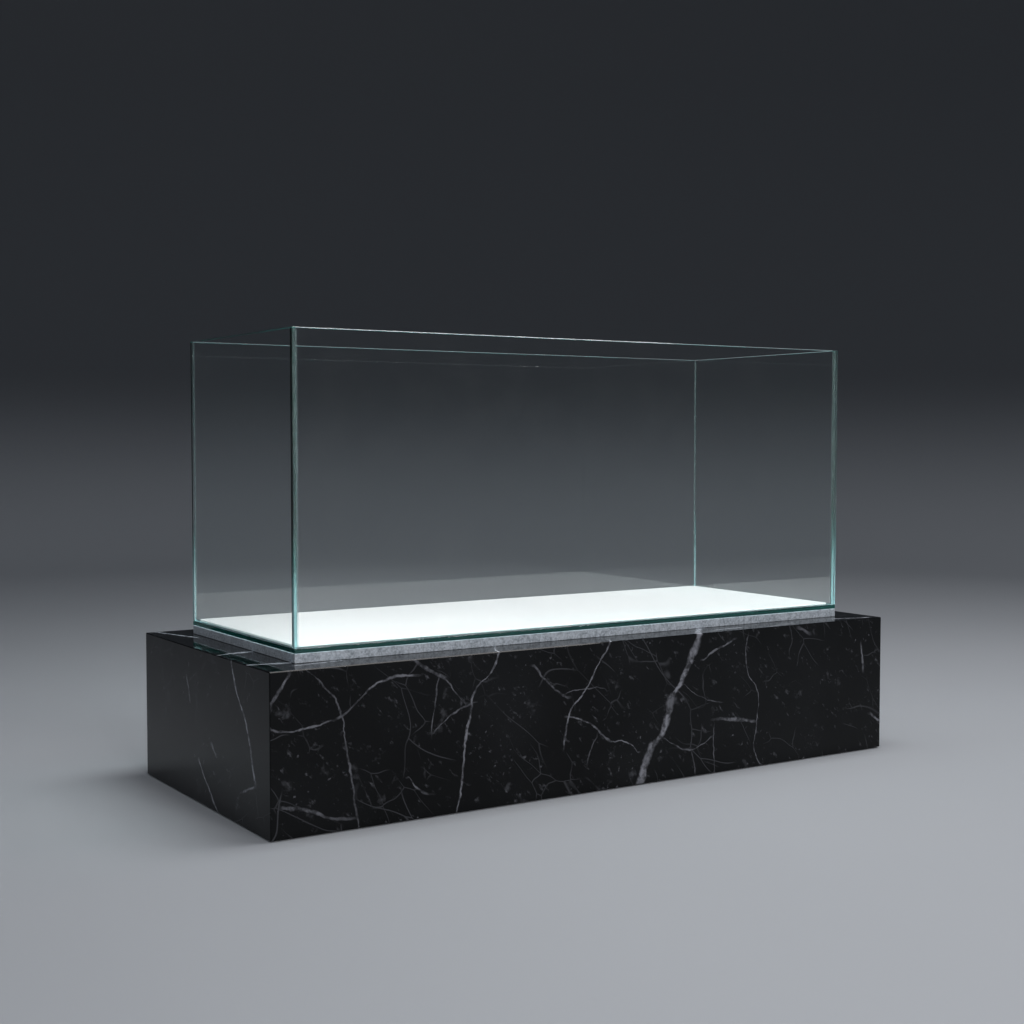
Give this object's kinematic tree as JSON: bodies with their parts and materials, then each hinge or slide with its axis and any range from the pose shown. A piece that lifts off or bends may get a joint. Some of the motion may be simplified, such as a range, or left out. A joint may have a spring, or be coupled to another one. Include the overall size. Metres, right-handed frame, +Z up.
{
  "type": "aquarium on stand",
  "caption": "Rimless open-top glass tank with a white floor board, on a grey levelling mat and a low black marble-clad plinth with levelling feet.",
  "frame": {"origin": "centre of the plinth's footprint, at the height of the floor", "axes": "+X along the length, to the right seen from the front; -Y to the front; +Z up"},
  "size_m": [1.34, 0.57, 0.808],
  "materials": {
    "black_marble": "polished",
    "cement_board": "matte",
    "plywood": "matte",
    "steel_tube": "satin",
    "zinc_steel": "satin",
    "black_nylon": "matte",
    "grey_foam": "matte",
    "clear_glass": "polished",
    "clear_silicone": "satin",
    "white_board": "satin"
  },
  "bodies": {
    "plinth": {"top_slab": "black_marble", "front_slab": "black_marble", "back_slab": "black_marble", "left_slab": "black_marble", "right_slab": "black_marble", "deck_board": "plywood", "deck_screws": "zinc_steel", "front_backer": "cement_board", "back_backer": "cement_board", "left_backer": "cement_board", "right_backer": "cement_board", "top_front_rail": "steel_tube", "top_back_rail": "steel_tube", "bottom_front_rail": "steel_tube", "bottom_back_rail": "steel_tube", "top_left_cross": "steel_tube", "top_middle_cross": "steel_tube", "top_right_cross": "steel_tube", "bottom_left_cross": "steel_tube", "bottom_middle_cross": "steel_tube", "bottom_right_cross": "steel_tube", "front_left_post": "steel_tube", "front_middle_post": "steel_tube", "front_right_post": "steel_tube", "back_left_post": "steel_tube", "back_middle_post": "steel_tube", "back_right_post": "steel_tube", "foot_inserts": "zinc_steel"},
    "front_left_foot": {"front_left_pad": "black_nylon"},
    "front_left_screw": {"front_left_stud": "zinc_steel"},
    "front_middle_foot": {"front_middle_pad": "black_nylon"},
    "front_middle_screw": {"front_middle_stud": "zinc_steel"},
    "front_right_foot": {"front_right_pad": "black_nylon"},
    "front_right_screw": {"front_right_stud": "zinc_steel"},
    "back_left_foot": {"back_left_pad": "black_nylon"},
    "back_left_screw": {"back_left_stud": "zinc_steel"},
    "back_middle_foot": {"back_middle_pad": "black_nylon"},
    "back_middle_screw": {"back_middle_stud": "zinc_steel"},
    "back_right_foot": {"back_right_pad": "black_nylon"},
    "back_right_screw": {"back_right_stud": "zinc_steel"},
    "levelling_mat": {"levelling_mat": "grey_foam"},
    "tank": {"bottom_pane": "clear_glass", "front_pane": "clear_glass", "back_pane": "clear_glass", "left_pane": "clear_glass", "right_pane": "clear_glass", "floor_seam": "clear_silicone", "front_left_seam": "clear_silicone", "front_right_seam": "clear_silicone", "back_left_seam": "clear_silicone", "back_right_seam": "clear_silicone"},
    "floor_board": {"floor_board": "white_board"}
  },
  "joints": [
    {"name": "front_left_height", "type": "slide", "parent": "plinth", "child": "front_left_foot", "axis": [0, 0, 1], "range_m": [-0.009, 0]},
    {"name": "front_left_turn", "type": "hinge", "parent": "front_left_foot", "child": "front_left_screw", "pos_m": [-0.604, -0.241, 0.018], "axis": [0, 0, 1], "range_deg": [-2160, 0]},
    {"name": "front_middle_height", "type": "slide", "parent": "plinth", "child": "front_middle_foot", "axis": [0, 0, 1], "range_m": [-0.009, 0]},
    {"name": "front_middle_turn", "type": "hinge", "parent": "front_middle_foot", "child": "front_middle_screw", "pos_m": [0, -0.241, 0.018], "axis": [0, 0, 1], "range_deg": [-2160, 0]},
    {"name": "front_right_height", "type": "slide", "parent": "plinth", "child": "front_right_foot", "axis": [0, 0, 1], "range_m": [-0.009, 0]},
    {"name": "front_right_turn", "type": "hinge", "parent": "front_right_foot", "child": "front_right_screw", "pos_m": [0.604, -0.241, 0.018], "axis": [0, 0, 1], "range_deg": [-2160, 0]},
    {"name": "back_left_height", "type": "slide", "parent": "plinth", "child": "back_left_foot", "axis": [0, 0, 1], "range_m": [-0.009, 0]},
    {"name": "back_left_turn", "type": "hinge", "parent": "back_left_foot", "child": "back_left_screw", "pos_m": [-0.604, 0.241, 0.018], "axis": [0, 0, 1], "range_deg": [-2160, 0]},
    {"name": "back_middle_height", "type": "slide", "parent": "plinth", "child": "back_middle_foot", "axis": [0, 0, 1], "range_m": [-0.009, 0]},
    {"name": "back_middle_turn", "type": "hinge", "parent": "back_middle_foot", "child": "back_middle_screw", "pos_m": [0, 0.241, 0.018], "axis": [0, 0, 1], "range_deg": [-2160, 0]},
    {"name": "back_right_height", "type": "slide", "parent": "plinth", "child": "back_right_foot", "axis": [0, 0, 1], "range_m": [-0.009, 0]},
    {"name": "back_right_turn", "type": "hinge", "parent": "back_right_foot", "child": "back_right_screw", "pos_m": [0.604, 0.241, 0.018], "axis": [0, 0, 1], "range_deg": [-2160, 0]},
    {"name": "mat_lift", "type": "slide", "parent": "plinth", "child": "levelling_mat", "axis": [0, 0, 1], "range_m": [0, 0.1]},
    {"name": "tank_lift", "type": "slide", "parent": "levelling_mat", "child": "tank", "axis": [0, 0, 1], "range_m": [0, 0.15]},
    {"name": "board_lift", "type": "slide", "parent": "tank", "child": "floor_board", "axis": [0, 0, 1], "range_m": [0, 0.56]}
  ],
  "couplings": [
    {"joint": "front_left_turn", "follows": "front_left_height", "rad_per_m": 4188.8},
    {"joint": "front_middle_turn", "follows": "front_middle_height", "rad_per_m": 4188.8},
    {"joint": "front_right_turn", "follows": "front_right_height", "rad_per_m": 4188.8},
    {"joint": "back_left_turn", "follows": "back_left_height", "rad_per_m": 4188.8},
    {"joint": "back_middle_turn", "follows": "back_middle_height", "rad_per_m": 4188.8},
    {"joint": "back_right_turn", "follows": "back_right_height", "rad_per_m": 4188.8}
  ]
}
